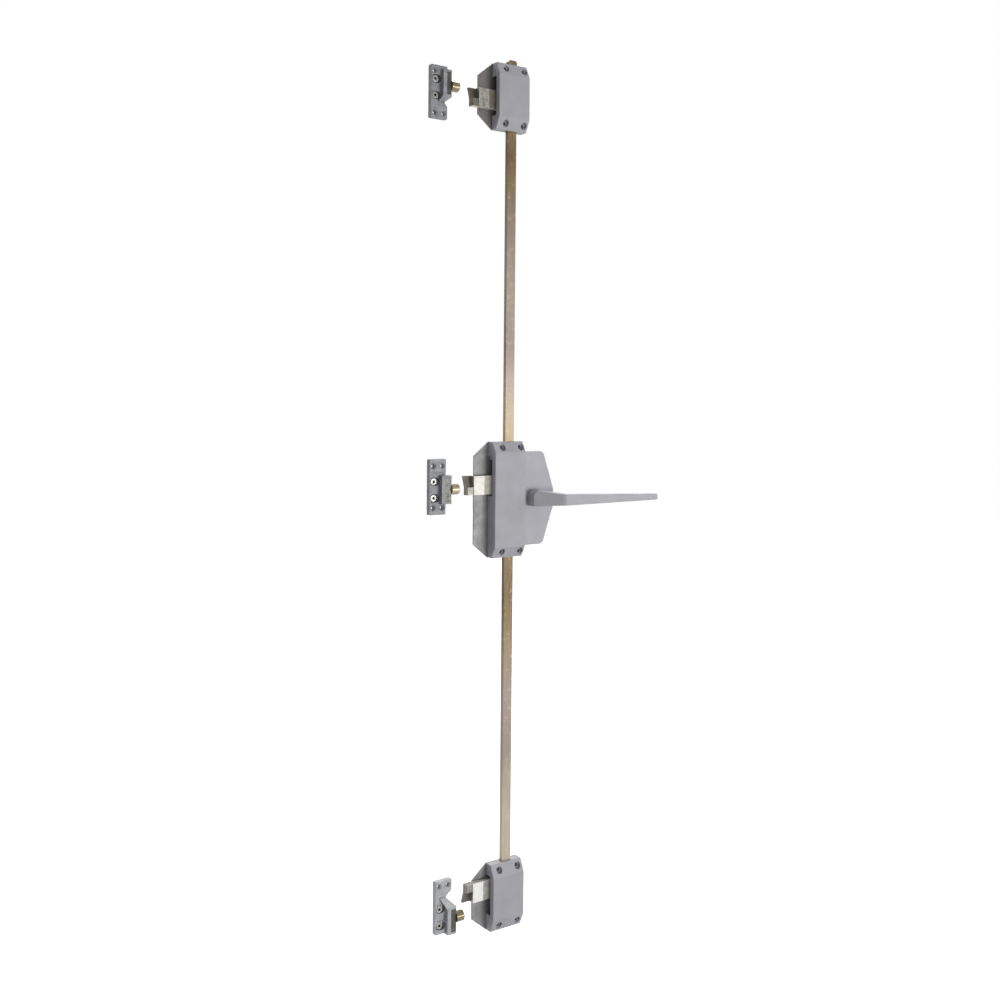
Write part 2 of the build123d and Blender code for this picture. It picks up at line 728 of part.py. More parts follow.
boss_left = spindle_x - boss_size / 2
bend_x = spindle_x + grip_bend_x
tip_x = spindle_x + lever_length
neck_run = Vector(bend_x - boss_left, grip_front_depth - boss_front_depth, 0).normalized()


def lever_section(front, back, top, bottom, radius):
    """An upright rounded rectangle on the line between two (X, depth) points; top and bottom are from the spindle."""
    across = Vector(back[0] - front[0], front[1] - back[1], 0)
    middle = Vector((front[0] + back[0]) / 2, -(front[1] + back[1]) / 2, spindle_z + (top - bottom) / 2)
    plane = Plane(origin=middle, x_dir=across, z_dir=across.cross(Vector(0, 0, 1)))
    with BuildSketch(plane) as section:
        RectangleRounded(across.length, top + bottom, radius)
    return section.sketch


def neck_side(point):
    """The point straight across the neck from a point on its front."""
    return (point[0] + neck_thickness * neck_run.Y, point[1] - neck_thickness * neck_run.X)


neck_start = (boss_left + boss_edge_radius / 4, boss_front_depth - boss_edge_radius / 2)
before_bend = (bend_x - grip_bend_softening * neck_run.X, grip_front_depth - grip_bend_softening * neck_run.Y)
after_bend = (bend_x + grip_bend_softening / 2, grip_front_depth)
with BuildSketch() as boss_outline:
    Rectangle(boss_size, boss_size)
    fillet(boss_outline.vertices().group_by(Axis.Y)[-1], radius=boss_top_radius)
    fillet(boss_outline.vertices().group_by(Axis.Y)[0], radius=boss_bottom_radius)
with BuildPart() as lever_handle:
    with BuildSketch(Plane.XZ.offset(boss_back_depth)):
        with Locations((spindle_x, spindle_z)):
            add(boss_outline.sketch)
    extrude(amount=boss_front_depth - boss_back_depth)
    fillet(lever_handle.faces().sort_by(Axis.Y)[0].edges(), radius=boss_edge_radius)
    loft(
        [
            lever_section(neck_start, neck_side(neck_start), neck_start_half, neck_start_half, neck_edge_radius),
            lever_section(before_bend, neck_side(before_bend), grip_root_top + neck_flare,
                          grip_root_bottom + neck_flare / 4, neck_edge_radius),
            lever_section(after_bend, (after_bend[0] + grip_root_depth / 2, grip_front_depth - grip_root_depth),
                          grip_root_top, grip_root_bottom, grip_edge_radius),
            lever_section((tip_x, grip_front_depth), (tip_x, grip_front_depth - grip_tip_depth), grip_tip_top,
                          grip_tip_bottom, grip_edge_radius),
        ],
        ruled=True,
    )
    fillet(lever_handle.faces().sort_by(Axis.X)[-1].edges(), radius=grip_tip_radius)
    # The neck's root keeps to the boss's rounded corners
    with BuildSketch(Plane.XZ):
        with Locations((spindle_x - boss_size / 2, spindle_z)):
            Rectangle(boss_size, boss_size + 2 * overrun)
        with Locations((spindle_x, spindle_z)):
            add(boss_outline.sketch, mode=Mode.SUBTRACT)
    extrude(amount=grip_front_depth, mode=Mode.SUBTRACT)
    rod_of(lever_neck_radius, gear_front + fit_clearance, boss_back_depth + fit_clearance, [(spindle_x, spindle_z)])
    slab(spindle_x - square, spindle_x + square, spindle_z - square, spindle_z + square, 0,
         spindle_end_depth + seat_clearance, mode=Mode.SUBTRACT)
    with Locations((spindle_x, -grub_depth, spindle_z - boss_size / 2)):
        Cylinder(grub_radius, boss_size - spindle_square, mode=Mode.SUBTRACT)
finish(lever_handle, "lever_handle")

with BuildPart(Plane.XY.offset(spindle_z - half_square - seat_clearance)) as grub_screw:
    with Locations((spindle_x, -grub_depth, 0)):
        Cylinder(grub_radius - fit_clearance, grub_length, align=(Align.CENTER, Align.CENTER, Align.MAX))
    with Locations((spindle_x, -grub_depth, -grub_length)):
        Cylinder(grub_socket_radius, grub_socket_depth, align=CENTER_LOW, mode=Mode.SUBTRACT)
finish(grub_screw, "grub_screw")


# Keepers


def make_keeper(prefix, right, center_z, height, bracket_height, shift, overhang, way, notch, holes):
    """A keeper: cast base with a bracket, a carrier block in its channel, a pin and two socket screws.

    shift moves the bracket, pin and screws from the base's middle, and overhang is how far the bracket passes the
    base's right edge. way is 1 or -1 where a slanting web joins the bracket to the base on the side that faces
    the centre of the lock, with a notch of the given depth beside it, and 0 where the bracket is plain.
    """
    left = right - keeper_width
    middle = right - keeper_width / 2
    half = height / 2
    face = frame_step + keeper_thickness
    bracket_z = center_z + shift
    top = bracket_z + bracket_height / 2
    bottom = bracket_z - bracket_height / 2
    pin_z = bracket_z - way * keeper_pin_shift
    bracket_front = frame_step + bracket_depth
    strip_left = right - bracket_inset
    bracket_right = right + overhang
    channel_left = strip_left + bracket_strip
    with BuildPart() as keeper:
        slab(left, right, center_z - half, center_z + half, frame_step, face)
        fillet(keeper.edges().filter_by(Axis.Y), radius=keeper_corner_radius)
        chamfer(keeper.faces().sort_by(Axis.Y)[0].edges(), length=keeper_recess / 2)
        slab(left + keeper_pad_inset, right + overrun, center_z - half + keeper_pad_height,
             center_z + half - keeper_pad_height, face - keeper_recess, face + overrun, mode=Mode.SUBTRACT)
        if way:
            # The right edge is cut away between the two-hole pad and the slanting web
            notch_z = center_z - way * (half - keeper_pad_height - keeper_notch_height / 2)
            web_end = bracket_z - way * bracket_height / 2
            with BuildSketch(Plane.XZ.offset(frame_step - overrun)):
                with BuildLine():
                    Polyline(
                        (right - notch, notch_z + way * keeper_notch_height / 2),
                        (right + overrun, notch_z - way * (keeper_notch_height + overrun)),
                        (right + overrun, web_end + way * overrun),
                        (right, web_end),
                        close=True,
                    )
                make_face()
            extrude(amount=bracket_depth + 2 * overrun, mode=Mode.SUBTRACT)
        slab(strip_left, bracket_right, bottom, top, frame_step + keeper_recess, bracket_front)
        if way:
            with BuildSketch(Plane.XZ.offset(frame_step + keeper_recess)):
                with BuildLine():
                    Polyline(
                        (strip_left - notch, notch_z + way * keeper_notch_height / 2),
                        (right - notch, notch_z + way * keeper_notch_height / 2),
                        (bracket_right, web_end),
                        (bracket_right, web_end + way * bracket_lip),
                        (strip_left, web_end + way * bracket_lip),
                        close=True,
                    )
                make_face()
            web = extrude(amount=bracket_depth - keeper_recess, mode=Mode.PRIVATE)
            with BuildSketch(Plane.YZ.offset(left)):
                with BuildLine():
                    Polyline(
                        (-frame_step, notch_z),
                        (-face + keeper_recess, notch_z),
                        (-bracket_front, web_end + way * seat_clearance),
                        (-bracket_front, web_end + way * 2 * bracket_lip),
                        (-frame_step, web_end + way * 2 * bracket_lip),
                        close=True,
                    )
                make_face()
            ramp = extrude(amount=2 * keeper_width, mode=Mode.PRIVATE)
            add(web & ramp)
        slab(channel_left, bracket_right + overrun, bottom + bracket_lip, top - bracket_lip,
             frame_step + channel_floor, bracket_front + overrun, mode=Mode.SUBTRACT)
        places = [(right + x, center_z + z) for x, z in holes]
        rod_of(keeper_hole_radius, frame_step - overrun, face + overrun, places, mode=Mode.SUBTRACT)
        with Locations(*[at(x, z, face - keeper_countersink_radius + keeper_hole_radius) for x, z in places]):
            Cone(keeper_hole_radius, keeper_countersink_radius, keeper_countersink_radius - keeper_hole_radius,
                 align=CENTER_LOW, mode=Mode.SUBTRACT)
        screw_x = left + keeper_screw_x
        screw_z = bracket_z - way * keeper_screw_shift
        screw_places = [(screw_x, screw_z + k * keeper_screw_pitch / 2) for k in (-1, 1)]
        slot_places = [(x + keeper_slot_travel / 2, z) for x, z in screw_places]
        with BuildSketch(Plane.XZ.offset(frame_step + keeper_slot_floor)):
            with Locations(*slot_places):
                SlotCenterToCenter(keeper_slot_travel, 2 * keeper_slot_radius)
        extrude(amount=keeper_thickness, mode=Mode.SUBTRACT)
        with BuildSketch(Plane.XZ.offset(frame_step - overrun)):
            with Locations(*slot_places):
                SlotCenterToCenter(keeper_slot_travel, 2 * (keeper_screw_radius + seat_clearance))
        extrude(amount=keeper_thickness + overrun, mode=Mode.SUBTRACT)
    finish(keeper, prefix + "_keeper_base")

    with BuildPart() as carrier:
        slab(channel_left + fit_clearance, bracket_right, bottom + bracket_lip + fit_clearance,
             top - bracket_lip - fit_clearance, frame_step + channel_floor, bracket_front - carrier_setback)
        fillet(carrier.edges().filter_by(Axis.X), radius=rod_edge_radius)
        with BuildSketch(Plane.YZ.offset(bracket_right)):
            with Locations((-frame_step - pin_depth, pin_z)):
                Circle(pin_spigot_radius + fit_clearance)
        extrude(amount=-pin_spigot_length - seat_clearance, mode=Mode.SUBTRACT)
    finish(carrier, prefix + "_keeper_carrier")

    with BuildPart() as pin:
        with BuildSketch(Plane.YZ.offset(bracket_right - pin_spigot_length)):
            with Locations((-frame_step - pin_depth, pin_z)):
                Circle(pin_spigot_radius)
        extrude(amount=pin_spigot_length + pin_length / 2)
        with BuildSketch(Plane.YZ.offset(bracket_right)):
            with Locations((-frame_step - pin_depth, pin_z)):
                Circle(pin_radius)
        extrude(amount=pin_length)
        fillet(pin.faces().sort_by(Axis.X)[-1].edges(), radius=pin_edge_radius)
    finish(pin, prefix + "_keeper_pin")

    with BuildPart() as screws:
        floor = frame_step + keeper_slot_floor
        head_top = floor + keeper_screw_head_height
        rod_of(keeper_screw_radius, frame_step + seat_clearance, floor + keeper_screw_head_height / 2, screw_places)
        rod_of(keeper_screw_head_radius, floor, head_top, screw_places)
        fillet(screws.faces().sort_by(Axis.Y)[:2].edges(), radius=keeper_screw_head_height / 4)
        with BuildSketch(Plane.XZ.offset(head_top - keeper_socket_depth)):
            with Locations(*screw_places):
                RegularPolygon(keeper_socket_radius, 6)
        extrude(amount=keeper_screw_head_height, mode=Mode.SUBTRACT)
    finish(screws, prefix + "_keeper_screws")


hole_left = -keeper_width / 2 - keeper_hole_pitch_x / 2
hole_right = -keeper_width / 2 + keeper_hole_pitch_x / 2
hole_z = keeper_hole_pitch_z / 2
all_holes = [(x, z) for x in (hole_left, hole_right) for z in (-hole_z, hole_z)]
make_keeper("center", center_keeper_right, center_keeper_z, center_keeper_height, center_bracket_height,
            center_bracket_shift, center_overhang, 0, 0, all_holes)
make_keeper("upper", upper_keeper_right, upper_keeper_z, end_keeper_height, end_bracket_height,
            upper_bracket_shift, upper_overhang, 1, upper_keeper_notch,
            [(hole_left, -hole_z), (hole_right, -hole_z), (hole_left, hole_z)])
make_keeper("lower", lower_keeper_right, lower_keeper_z, end_keeper_height, end_bracket_height,
            lower_bracket_shift, lower_overhang, -1, lower_keeper_notch,
            [(hole_left, hole_z), (hole_right, hole_z)])
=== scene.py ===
import json
import math

import bpy
import numpy as np
from mathutils import Matrix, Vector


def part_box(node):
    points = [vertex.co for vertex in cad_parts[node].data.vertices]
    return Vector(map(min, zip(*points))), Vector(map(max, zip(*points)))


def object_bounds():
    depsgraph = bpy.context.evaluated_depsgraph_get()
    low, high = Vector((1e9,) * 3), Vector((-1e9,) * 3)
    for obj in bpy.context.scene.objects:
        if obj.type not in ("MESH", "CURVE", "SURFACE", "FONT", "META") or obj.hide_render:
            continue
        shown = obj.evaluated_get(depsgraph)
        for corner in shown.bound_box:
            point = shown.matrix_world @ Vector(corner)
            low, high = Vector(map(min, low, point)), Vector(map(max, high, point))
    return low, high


# A surface-mounted cremone bolt in a plain white studio. Every length is in metres, in the frame's own axes:
# X along the door towards the lever, Z up, and the viewer on the side of -Y.

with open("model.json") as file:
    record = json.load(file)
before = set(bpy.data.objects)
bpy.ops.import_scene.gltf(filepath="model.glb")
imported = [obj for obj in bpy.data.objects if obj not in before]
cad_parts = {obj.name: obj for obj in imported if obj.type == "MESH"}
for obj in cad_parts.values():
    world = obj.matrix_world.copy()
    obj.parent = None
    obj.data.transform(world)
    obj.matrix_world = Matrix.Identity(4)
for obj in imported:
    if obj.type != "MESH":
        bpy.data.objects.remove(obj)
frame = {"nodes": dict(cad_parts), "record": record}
nodes = frame["nodes"]
cad_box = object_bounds()

MM = 0.001


# Colours and nodes


def srgb(code):
    """A hex colour, as it looks on a screen, turned to the linear values that shaders use."""
    parts = np.array([int(code[k:k + 2], 16) for k in (1, 3, 5)]) / 255
    linear = np.where(parts <= 0.04045, parts / 12.92, ((parts + 0.055) / 1.055) ** 2.4)
    return (*linear.tolist(), 1.0)


def per(size_mm):
    """The texture scale whose pattern repeats about once in the given number of millimetres."""
    return 1 / (size_mm * MM)


def add(tree, kind, inputs=None, **settings):
    """Adds one node: settings are its properties, inputs its sockets' values or the sockets that feed them."""
    node = tree.nodes.new("ShaderNode" + kind)
    for name, value in settings.items():
        setattr(node, name, value)
    for name, value in (inputs or {}).items():
        if isinstance(value, bpy.types.NodeSocket):
            tree.links.new(value, node.inputs[name])
        else:
            node.inputs[name].default_value = value
    return node


def new_material(name):
    """An empty node material and the tree that it holds."""
    material = bpy.data.materials.new(name)
    material.use_nodes = True
    material.node_tree.nodes.clear()
    return material, material.node_tree


def ramp(tree, factor, stops):
    """A colour ramp: stops are (position, hex colour) from low to high."""
    node = add(tree, "ValToRGB", {"Fac": factor})
    elements = node.color_ramp.elements
    while len(elements) < len(stops):
        elements.new(0.5)
    for element, (position, code) in zip(elements, stops):
        element.position = position
        element.color = srgb(code)
    return node.outputs["Color"]


def blend_colors(tree, factor, first, second):
    """Mixes two colours; each is a socket or a hex colour."""
    node = add(tree, "Mix", data_type="RGBA")
    for index, value in ((0, factor), (6, first), (7, second)):
        if isinstance(value, bpy.types.NodeSocket):
            tree.links.new(value, node.inputs[index])
        else:
            node.inputs[index].default_value = srgb(value) if isinstance(value, str) else value
    return node.outputs[2]


def stretch(tree, point, x=1.0, z=1.0):
    """The object's own coordinates, scaled along X and Z: a pattern runs long where the scale is small."""
    return add(tree, "Mapping", {"Vector": point, "Scale": (x, 1.0, z)}).outputs["Vector"]


def limits(tree, value, low, high, to_low=0.0, to_high=1.0):
    """Cuts a value to the stretch between low and high and spreads that stretch over a new one."""
    node = add(tree, "MapRange", {"Value": value, "From Min": low, "From Max": high, "To Min": to_low,
                                  "To Max": to_high})
    return node.outputs["Result"]


def rounded(tree, radius_mm):
    """The normal of an edge that is broken by a small radius, and how near a point is to such an edge."""
    soft = add(tree, "Bevel", {"Radius": radius_mm * MM}, samples=6).outputs["Normal"]
    sharp = add(tree, "NewGeometry").outputs["Normal"]
    alike = add(tree, "VectorMath", {0: soft, 1: sharp}, operation="DOT_PRODUCT").outputs["Value"]
    return soft, limits(tree, alike, 0.99, 0.86)


def bump(tree, height, strength, depth_mm, normal):
    """Raises the surface by a pattern's height."""
    return add(tree, "Bump", {"Height": height, "Strength": strength, "Distance": depth_mm * MM,
                              "Normal": normal}).outputs["Normal"]


def facing_z(tree, low, high, most):
    """How far a point's own normal turns up from low to high; negative limits are for normals that turn down."""
    normal = add(tree, "TexCoord").outputs["Normal"]
    height = add(tree, "SeparateXYZ", {"Vector": normal}).outputs["Z"]
    return limits(tree, height, low, high, 0.0, most)


def surface(tree, **inputs):
    """The shader and the output of a material."""
    names = {key.replace("_", " "): value for key, value in inputs.items()}
    shader = add(tree, "BsdfPrincipled", names)
    add(tree, "OutputMaterial", {"Surface": shader.outputs["BSDF"]})


# Materials


def satin_paint(name, color, light, dark):
    """Powder coat on a zinc die casting: orange peel 2 mm wide, faint clouds, dust specks, and edges painted lighter,
    partly as a thinner coat and partly as a painted highlight.
    """
    material, tree = new_material(name)
    point = add(tree, "TexCoord").outputs["Object"]
    clouds = add(tree, "TexNoise", {"Vector": point, "Scale": per(26), "Detail": 3.0}).outputs["Fac"]
    peel = add(tree, "TexNoise", {"Vector": point, "Scale": per(2.0), "Detail": 2.0}).outputs["Fac"]
    grit = add(tree, "TexVoronoi", {"Vector": point, "Scale": per(5.5)}).outputs["Distance"]
    softly, edge = rounded(tree, 0.35)
    tone = ramp(tree, clouds, [(0.32, dark), (0.5, color), (0.68, light)])
    speck = limits(tree, grit, 0.09, 0.05, 0.0, 0.35)
    tone = blend_colors(tree, speck, tone, "#6E6F74")
    # Edges painted lighter: partly a thinner coat, partly a painted highlight
    tone = blend_colors(tree, limits(tree, edge, 0.0, 1.0, 0.0, 0.45), tone, "#B4B5B9")
    shine = limits(tree, peel, 0.3, 0.7, 0.44, 0.54)
    polish = add(tree, "Math", {0: shine, 1: limits(tree, edge, 0.0, 1.0, 1.0, 0.5)}, operation="MULTIPLY")
    surface(tree, Base_Color=tone, Roughness=polish.outputs["Value"], Metallic=0.0, IOR=1.5,
            Normal=bump(tree, peel, 0.22, 0.08, softly))
    return material


def galvanised_sheet(name, tones):
    """Zinc-plated steel sheet: dull clouds 16 mm wide, fine grain, rolling streaks along Z, a few handling marks.
    tones are the clouds' four hex colours from dark to light."""
    material, tree = new_material(name)
    point = add(tree, "TexCoord").outputs["Object"]
    spangle = add(tree, "TexNoise", {"Vector": point, "Scale": per(16), "Detail": 5.0,
                                     "Roughness": 0.6}).outputs["Fac"]
    grain = add(tree, "TexNoise", {"Vector": point, "Scale": per(1.6), "Detail": 3.0}).outputs["Fac"]
    streak = add(tree, "TexNoise", {"Vector": stretch(tree, point, z=0.08), "Scale": per(3.2),
                                    "Detail": 3.0}).outputs["Fac"]
    mark = add(tree, "TexVoronoi", {"Vector": point, "Scale": per(17)}).outputs["Distance"]
    softly, edge = rounded(tree, 0.3)
    tone = ramp(tree, spangle, list(zip((0.30, 0.48, 0.60, 0.74), tones)))
    tone = blend_colors(tree, limits(tree, streak, 0.35, 0.7, 0.0, 0.3), tone, tones[0])
    tone = blend_colors(tree, limits(tree, grain, 0.45, 0.65, 0.0, 0.4), tone, tones[0])
    tone = blend_colors(tree, limits(tree, mark, 0.07, 0.04, 0.0, 0.7), tone, "#47484A")
    tone = blend_colors(tree, edge, tone, "#A3A3A3")
    surface(tree, Base_Color=tone, Metallic=0.5, Roughness=limits(tree, spangle, 0.3, 0.7, 0.6, 0.5),
            Normal=bump(tree, streak, 0.25, 0.05, softly))
    return material


def hollow(tree, reach_mm):
    """1 where a point is shut in by surfaces within reach, as at the bottom of a socket, and 0 in the open: the mask
    for painted shade in recesses.
    """
    open_sky = add(tree, "AmbientOcclusion", {"Distance": reach_mm * MM}, samples=6).outputs["AO"]
    return limits(tree, open_sky, 0.8, 0.4)


def bright_zinc(name, base, low, spots):
    """Bright zinc on a turned or pressed part: a silver skin with pinholes 2 mm apart and rubbed edges. Its
    sockets are painted near black as shade."""
    material, tree = new_material(name)
    point = add(tree, "TexCoord").outputs["Object"]
    skin = add(tree, "TexNoise", {"Vector": point, "Scale": per(5), "Detail": 5.0, "Roughness": 0.65}).outputs["Fac"]
    pinhole = add(tree, "TexVoronoi", {"Vector": point, "Scale": per(2.1)}).outputs["Distance"]
    softly, edge = rounded(tree, 0.4)
    tone = ramp(tree, skin, [(0.32, low), (0.62, base)])
    dots = limits(tree, pinhole, 0.24, 0.1, 0.0, spots)
    tone = blend_colors(tree, dots, tone, "#57503F")
    tone = blend_colors(tree, limits(tree, edge, 0.0, 1.0, 0.0, 0.6), tone, "#E4E3DE")
    # Painted shade: sockets and other recesses darkened nearly to black
    tone = blend_colors(tree, hollow(tree, 4), tone, "#131312")
    surface(tree, Base_Color=tone, Metallic=0.7, Roughness=limits(tree, skin, 0.3, 0.7, 0.42, 0.3),
            Normal=bump(tree, skin, 0.25, 0.08, softly))
    return material


def ground_hook(name, node, pad, pad_low, skin_high, skin_low, speckle, stained="#6E6252"):
    """A cast hook in zinc: the pad in front is bright, partly as ground metal and partly as a painted highlight, with
    dark pinholes 1.2 mm apart where the grinding left them. Everything else keeps its plated skin, duller and stained
    brown where the pin and the grease rub, with painted shade on the tip, the pocket and the back, and a painted
    highlight on the edges. Faces that turn up are painted darker and faces that turn down lighter, as painted shade
    and reflection."""
    material, tree = new_material(name)
    point = add(tree, "TexCoord").outputs["Object"]
    low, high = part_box(node)
    front = low[1] + hook_pad_skin * MM
    pad_left = low[0] + (hook_pocket_length + hook_tip_extra - hook_pad_lead) * MM
    pad_right = pad_left + (hook_pad_length - hook_pad_trim) * MM
    place = add(tree, "SeparateXYZ", {"Vector": point})
    across, depth = place.outputs["X"], place.outputs["Y"]
    fade = 0.25 * MM
    on_pad = add(tree, "Math", {0: limits(tree, depth, front + fade, front),
                                1: limits(tree, across, pad_left, pad_left + fade)}, operation="MULTIPLY")
    on_pad = add(tree, "Math", {0: on_pad.outputs["Value"],
                                1: limits(tree, across, pad_right + fade, pad_right)}, operation="MULTIPLY")
    ground = on_pad.outputs["Value"]
    skin = add(tree, "TexNoise", {"Vector": point, "Scale": per(6), "Detail": 5.0, "Roughness": 0.65}).outputs["Fac"]
    grain = add(tree, "TexNoise", {"Vector": point, "Scale": per(1.2), "Detail": 3.0}).outputs["Fac"]
    stain = add(tree, "TexNoise", {"Vector": stretch(tree, point, z=2.0), "Scale": per(13), "Detail": 4.0})
    softly, edge = rounded(tree, 0.5)
    plated = ramp(tree, skin, [(0.32, skin_low), (0.66, skin_high)])
    # Painted shade: the tip beyond the pad is darker, and so are the pocket and the back
    beyond = limits(tree, across, pad_left - 0.2 * MM, pad_left - 0.6 * MM, 0.0, 0.3)
    plated = blend_colors(tree, beyond, plated, "#5C574D")
    shade_start, shade_end = (front + mm * MM for mm in hook_shade_depths)
    deep = limits(tree, depth, shade_start, shade_end, 0.0, 0.75)
    plated = blend_colors(tree, deep, plated, "#4C453A")
    plated = blend_colors(tree, limits(tree, stain.outputs["Fac"], 0.5, 0.66, 0.0, 0.3), plated, stained)
    # The pad's bright tone: partly ground metal, partly a painted highlight
    bright = ramp(tree, skin, [(0.3, pad_low), (0.6, pad)])
    bright = blend_colors(tree, limits(tree, grain, 0.5, 0.6, 0.0, speckle), bright, "#5A564C")
    # Painted shade and reflection: faces that turn up are painted dull, and faces that turn down bright
    plated = blend_colors(tree, facing_z(tree, 0.6, 0.8, 0.75), plated, "#85827B")
    plated = blend_colors(tree, facing_z(tree, -0.6, -0.8, 0.85), plated, "#DAD8D0")
    tone = blend_colors(tree, ground, plated, bright)
    # Painted highlight on the edges
    tone = blend_colors(tree, limits(tree, edge, 0.0, 1.0, 0.0, 0.75), tone, "#DEDCD4")
    surface(tree, Base_Color=tone, Metallic=0.45, Roughness=limits(tree, skin, 0.3, 0.7, 0.5, 0.36),
            Normal=bump(tree, grain, 0.3, 0.1, softly))
    return material


def yellow_zinc(name, stops, drift, glossy, top_shade=0.0, bottom_shade=0.0):
    """Yellow-passivated zinc on drawn bar: bands of brown, gold and pale rose that run over 60 mm and more, with
    fine drawing lines along Z. stops place the bands along the whole lock, from its lowest point to its highest.
    drift is how far, in millimetres, the bands wander. The last two arguments are how dark the top and the bottom are
    painted, 0 to 1: painted shade on a pin's top and bottom."""
    material, tree = new_material(name)
    point = add(tree, "TexCoord").outputs["Object"]
    low, high = cad_box[0][2], cad_box[1][2]
    height = add(tree, "SeparateXYZ", {"Vector": point}).outputs["Z"]
    wander = add(tree, "TexNoise", {"Vector": stretch(tree, point, z=0.35), "Scale": per(14), "Detail": 4.0,
                                    "Roughness": 0.6}).outputs["Fac"]
    moved = add(tree, "Math", {0: limits(tree, wander, 0.25, 0.75, -drift * MM, drift * MM), 1: height},
                operation="ADD").outputs["Value"]
    bands = ramp(tree, limits(tree, moved, low, high), stops)
    line = add(tree, "TexNoise", {"Vector": stretch(tree, point, z=0.02), "Scale": per(1.1),
                                  "Detail": 3.0}).outputs["Fac"]
    stain = add(tree, "TexNoise", {"Vector": point, "Scale": per(8), "Detail": 5.0, "Roughness": 0.7}).outputs["Fac"]
    softly, edge = rounded(tree, 0.35)
    tone = blend_colors(tree, limits(tree, line, 0.35, 0.72, 0.0, 0.4), bands, "#8E7C62")
    tone = blend_colors(tree, limits(tree, stain, 0.55, 0.75, 0.0, 0.35), tone, "#C6B9A4")
    tone = blend_colors(tree, limits(tree, edge, 0.0, 1.0, 0.0, 0.5), tone, "#A58C94")
    # Painted shade on the top and the bottom
    tone = blend_colors(tree, facing_z(tree, 0.4, 0.85, top_shade), tone, "#4B3F28")
    tone = blend_colors(tree, facing_z(tree, -0.5, -0.9, bottom_shade), tone, "#54462C")
    smooth, rough = (0.2, 0.32) if glossy else (0.34, 0.5)
    surface(tree, Base_Color=tone, Metallic=0.75, Roughness=limits(tree, stain, 0.3, 0.7, smooth, rough),
            Normal=bump(tree, line, 0.2, 0.04, softly))
    return material


def cast_grey(name, base, dark, light):
    """Raw grey pressure casting: grainy skin 1.5 mm wide, darker flow clouds, painted shade in its recesses, and
    corners rubbed lighter.
    """
    material, tree = new_material(name)
    point = add(tree, "TexCoord").outputs["Object"]
    clouds = add(tree, "TexNoise", {"Vector": point, "Scale": per(11), "Detail": 5.0,
                                    "Roughness": 0.62}).outputs["Fac"]
    grain = add(tree, "TexNoise", {"Vector": point, "Scale": per(1.5), "Detail": 4.0}).outputs["Fac"]
    softly, edge = rounded(tree, 0.7)
    tone = ramp(tree, clouds, [(0.3, dark), (0.52, base), (0.74, light)])
    tone = blend_colors(tree, limits(tree, grain, 0.55, 0.8, 0.0, 0.4), tone, dark)
    # Painted shade: recesses darkened
    tone = blend_colors(tree, limits(tree, hollow(tree, 5), 0.0, 1.0, 0.0, 0.5), tone, "#3C3D40")
    tone = blend_colors(tree, limits(tree, edge, 0.0, 1.0, 0.0, 0.5), tone, "#B4B5B8")
    surface(tree, Base_Color=tone, Metallic=0.25, Roughness=limits(tree, grain, 0.3, 0.7, 0.5, 0.64),
            Normal=bump(tree, grain, 0.4, 0.12, softly))
    return material


def machined_steel(name, base, dark, oil):
    """Machined steel: turning and milling lines 1 mm apart, and thin oil that leaves darker, smoother patches."""
    material, tree = new_material(name)
    point = add(tree, "TexCoord").outputs["Object"]
    cut = add(tree, "TexNoise", {"Vector": stretch(tree, point, x=0.1), "Scale": per(1.0),
                                 "Detail": 2.0}).outputs["Fac"]
    film = add(tree, "TexNoise", {"Vector": point, "Scale": per(10), "Detail": 3.0}).outputs["Fac"]
    softly, edge = rounded(tree, 0.25)
    tone = ramp(tree, cut, [(0.3, dark), (0.6, base)])
    tone = blend_colors(tree, limits(tree, film, 0.5, 0.65, 0.0, oil), tone, "#3E3B34")
    tone = blend_colors(tree, limits(tree, edge, 0.0, 1.0, 0.0, 0.5), tone, "#C9C9C6")
    surface(tree, Base_Color=tone, Metallic=0.9, Roughness=limits(tree, film, 0.45, 0.65, 0.55, 0.42),
            Normal=bump(tree, cut, 0.2, 0.04, softly))
    return material


def moulded_nylon():
    """Black moulded nylon: low sheen with a fine spark texture 0.8 mm wide."""
    material, tree = new_material("moulded_nylon")
    point = add(tree, "TexCoord").outputs["Object"]
    spark = add(tree, "TexNoise", {"Vector": point, "Scale": per(0.8), "Detail": 2.0}).outputs["Fac"]
    softly, _ = rounded(tree, 0.2)
    tone = ramp(tree, spark, [(0.35, "#2A2A2C"), (0.7, "#39393C")])
    surface(tree, Base_Color=tone, Metallic=0.0, Roughness=0.55, IOR=1.53,
            Normal=bump(tree, spark, 0.3, 0.05, softly))
    return material


# Sizes of the hooks' pocket and pad, in millimetres, as the hooks are made
hook_pocket_length = 10.2
hook_tip_extra = 1.7
hook_pad_length = 18.0
# Where the bright pad is painted, as grinding and as a painted highlight, in millimetres: how deep it reaches, how
# far before the pad's left end it starts, how much shorter than the pad it is, and the depths behind it between which
# the skin is darkened as painted shade
hook_pad_skin = 0.8
hook_pad_lead = 1.1
hook_pad_trim = 0.4
hook_shade_depths = (3, 6)

# The bands of the rods and pins as they run up the lock, from its lowest point at 0 to its highest at 1, and how far
# each kind of band wanders, in millimetres
rod_drift = 14
pin_drift = 260
rod_bands = [(0.0, "#6A5F4B"), (0.08, "#9E9488"), (0.13, "#9A9186"), (0.20, "#7A7169"), (0.27, "#7C716D"),
             (0.33, "#6C5E4A"), (0.37, "#54452F"), (0.40, "#4C3F2C"), (0.44, "#5A4C38"), (0.52, "#7C6E58"),
             (0.59, "#938674"), (0.63, "#8A7F78"), (0.67, "#766B67"), (0.74, "#81766E"), (0.80, "#766A64"),
             (0.86, "#695A42"), (0.89, "#54412B"), (0.94, "#7A6B50"), (0.97, "#5E4F34")]
pin_bands = [(0.0, "#6E6550"), (0.35, "#978E76"), (0.5, "#A59E88"), (0.75, "#877E65"), (1.0, "#716850")]

